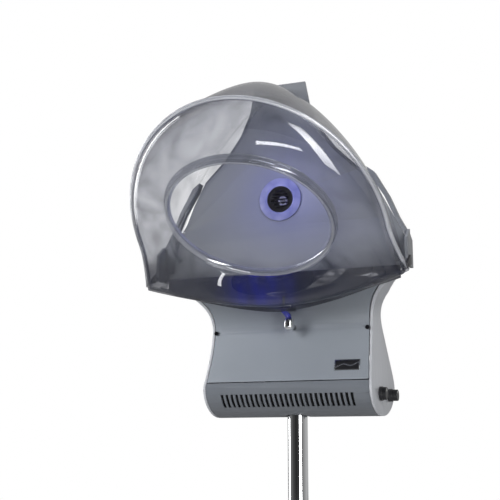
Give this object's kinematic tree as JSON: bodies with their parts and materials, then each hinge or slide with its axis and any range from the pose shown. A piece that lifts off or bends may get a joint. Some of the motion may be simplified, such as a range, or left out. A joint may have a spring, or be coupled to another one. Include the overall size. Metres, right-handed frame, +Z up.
{
  "type": "salon hood steamer on a castor stand",
  "caption": "Hair and scalp steamer: clear smoked hood with a round opening on a grey housing, on a height-adjustable chrome column with a castor base.",
  "frame": {"origin": "on the floor, under the middle of the outer box at rest", "axes": "+Z up along the column, -Y is the front, where the hood opens, +X is the side with the two knobs"},
  "size_m": [0.6532, 0.6642, 1.48],
  "materials": {
    "polished_aluminium": "polished",
    "black_plastic": "fine texture",
    "chrome_tube": "polished",
    "white_nylon": "smooth",
    "castor_tread": "matt",
    "zinc_steel": "plated",
    "dark_steel": "brushed",
    "panel_silver": "silver paint with a fine grain",
    "cover_grey": "satin paint",
    "nose_grey": "satin paint",
    "shield_grey": "satin",
    "screw_black": "blackened",
    "rivet_steel": "polished",
    "silicone": "soft",
    "light_lens": "clear blue, lit from behind",
    "board_green": "solder mask",
    "heater_steel": "heat tinted",
    "ivory_plastic": "moulded",
    "badge_black": "gloss",
    "rocker_red": "gloss",
    "tank_clear": "clear",
    "smoke_clear": "clear smoked, polished",
    "smoke_dark": "clear smoked, polished"
  },
  "bodies": {
    "base": {"star_base": "polished_aluminium", "base_cap": "black_plastic", "column_tube": "chrome_tube", "column_bush": "white_nylon", "clamp_collar": "black_plastic"},
    "clamp": {"clamp_knob": "black_plastic"},
    "mast": {"mast_tube": "chrome_tube", "mast_foot_bush": "white_nylon", "mast_spindle": "dark_steel"},
    "yoke": {"tilt_yoke": "dark_steel", "tilt_pin": "zinc_steel", "pin_clips": "dark_steel"},
    "head": {"side_panel_left": "panel_silver", "side_panel_right": "panel_silver", "nose_shell": "nose_grey", "front_cover": "cover_grey", "cover_screws": "screw_black", "back_cover": "cover_grey", "back_screws": "screw_black", "shield": "shield_grey", "shield_rivets": "rivet_steel", "spine_cover": "cover_grey", "hood_clips": "black_plastic", "chassis": "zinc_steel", "boiler": "polished_aluminium", "heater": "heater_steel", "steam_hose": "silicone", "steam_outlet": "rivet_steel", "light_ring": "light_lens", "light_board": "board_green", "control_board": "board_green", "timer_module": "ivory_plastic", "heat_switch": "ivory_plastic", "badge": "badge_black", "power_inlet": "black_plastic", "drain_cup": "rivet_steel", "drain_spigot": "rivet_steel", "tank_cradle": "black_plastic", "fan_frame": "black_plastic"},
    "hood": {"hood_dome": "smoke_clear", "hood_back_panel": "smoke_clear", "hood_visor": "smoke_clear", "hood_gutter": "smoke_dark", "drain_spout": "smoke_dark"},
    "timer_knob": {"timer_knob": "black_plastic"},
    "heat_knob": {"heat_knob": "black_plastic"},
    "rocker": {"power_rocker": "rocker_red"},
    "tank": {"water_tank": "tank_clear"},
    "cap": {"tank_cap": "black_plastic"},
    "fan": {"fan_rotor": "black_plastic"},
    "castor_front": {"castor_fork_1": "black_plastic"},
    "wheels_front": {"castor_wheels_1": "castor_tread"},
    "castor_right": {"castor_fork_2": "black_plastic"},
    "wheels_right": {"castor_wheels_2": "castor_tread"},
    "castor_rear_right": {"castor_fork_3": "black_plastic"},
    "wheels_rear_right": {"castor_wheels_3": "castor_tread"},
    "castor_rear_left": {"castor_fork_4": "black_plastic"},
    "wheels_rear_left": {"castor_wheels_4": "castor_tread"},
    "castor_left": {"castor_fork_5": "black_plastic"},
    "wheels_left": {"castor_wheels_5": "castor_tread"}
  },
  "joints": [
    {"name": "height_slide", "type": "slide", "parent": "base", "child": "mast", "axis": [0, 0, 1], "range_m": [-0.12, 0.18]},
    {"name": "head_swivel", "type": "hinge", "parent": "mast", "child": "yoke", "pos_m": [0, 0.0467, 0.96], "axis": [0, 0, 1], "range_deg": [-90, 90]},
    {"name": "head_tilt", "type": "hinge", "parent": "yoke", "child": "head", "pos_m": [0, 0.0467, 0.984], "axis": [1, 0, 0], "range_deg": [-20, 0]},
    {"name": "hood_lift", "type": "slide", "parent": "head", "child": "hood", "axis": [0, -0.35, 0.9367], "range_m": [0, 0.04]},
    {"name": "timer_turn", "type": "hinge", "parent": "head", "child": "timer_knob", "pos_m": [0.15, 0.0367, 0.937], "axis": [1, 0, 0], "range_deg": [0, 300]},
    {"name": "heat_turn", "type": "hinge", "parent": "head", "child": "heat_knob", "pos_m": [0.15, 0.0987, 0.937], "axis": [1, 0, 0], "range_deg": [0, 270]},
    {"name": "power_rock", "type": "hinge", "parent": "head", "child": "rocker", "pos_m": [-0.15, 0.0467, 0.937], "axis": [0, 1, 0], "range_deg": [-16, 0]},
    {"name": "tank_lift", "type": "slide", "parent": "head", "child": "tank", "axis": [0, 0, 1], "range_m": [0, 0.06]},
    {"name": "cap_turn", "type": "hinge", "parent": "tank", "child": "cap", "pos_m": [0, 0.1227, 1.085], "axis": [0, 0, 1], "range_deg": [0, 90]},
    {"name": "clamp_turn", "type": "hinge", "parent": "base", "child": "clamp", "pos_m": [0, 0.0867, 0.689], "axis": [0, 1, 0], "range_deg": [-180, 180]},
    {"name": "fan_spin", "type": "hinge", "parent": "head", "child": "fan", "pos_m": [0.044, 0.0067, 1.136], "axis": [0, 1, 0], "continuous": true},
    {"name": "castor_swivel_front", "type": "hinge", "parent": "base", "child": "castor_front", "pos_m": [0, -0.2433, 0.06], "axis": [0, 0, 1], "continuous": true},
    {"name": "wheels_roll_front", "type": "hinge", "parent": "castor_front", "child": "wheels_front", "pos_m": [0, -0.2233, 0.025], "axis": [1, 0, 0], "continuous": true},
    {"name": "castor_swivel_right", "type": "hinge", "parent": "base", "child": "castor_right", "pos_m": [0.27581, -0.04291, 0.06], "axis": [0, 0, 1], "continuous": true},
    {"name": "wheels_roll_right", "type": "hinge", "parent": "castor_right", "child": "wheels_right", "pos_m": [0.2946, -0.03607, 0.025], "axis": [0.342, -0.9397, 0], "continuous": true},
    {"name": "castor_swivel_rear_right", "type": "hinge", "parent": "base", "child": "castor_rear_right", "pos_m": [0.17046, 0.28131, 0.06], "axis": [0, 0, 1], "continuous": true},
    {"name": "wheels_roll_rear_right", "type": "hinge", "parent": "castor_rear_right", "child": "wheels_rear_right", "pos_m": [0.1773, 0.30011, 0.025], "axis": [0.9397, -0.342, 0], "continuous": true},
    {"name": "castor_swivel_rear_left", "type": "hinge", "parent": "base", "child": "castor_rear_left", "pos_m": [-0.17046, 0.28131, 0.06], "axis": [0, 0, 1], "continuous": true},
    {"name": "wheels_roll_rear_left", "type": "hinge", "parent": "castor_rear_left", "child": "wheels_rear_left", "pos_m": [-0.1773, 0.30011, 0.025], "axis": [0.9397, 0.342, 0], "continuous": true},
    {"name": "castor_swivel_left", "type": "hinge", "parent": "base", "child": "castor_left", "pos_m": [-0.27581, -0.04291, 0.06], "axis": [0, 0, 1], "continuous": true},
    {"name": "wheels_roll_left", "type": "hinge", "parent": "castor_left", "child": "wheels_left", "pos_m": [-0.2946, -0.03607, 0.025], "axis": [0.342, 0.9397, 0], "continuous": true}
  ]
}
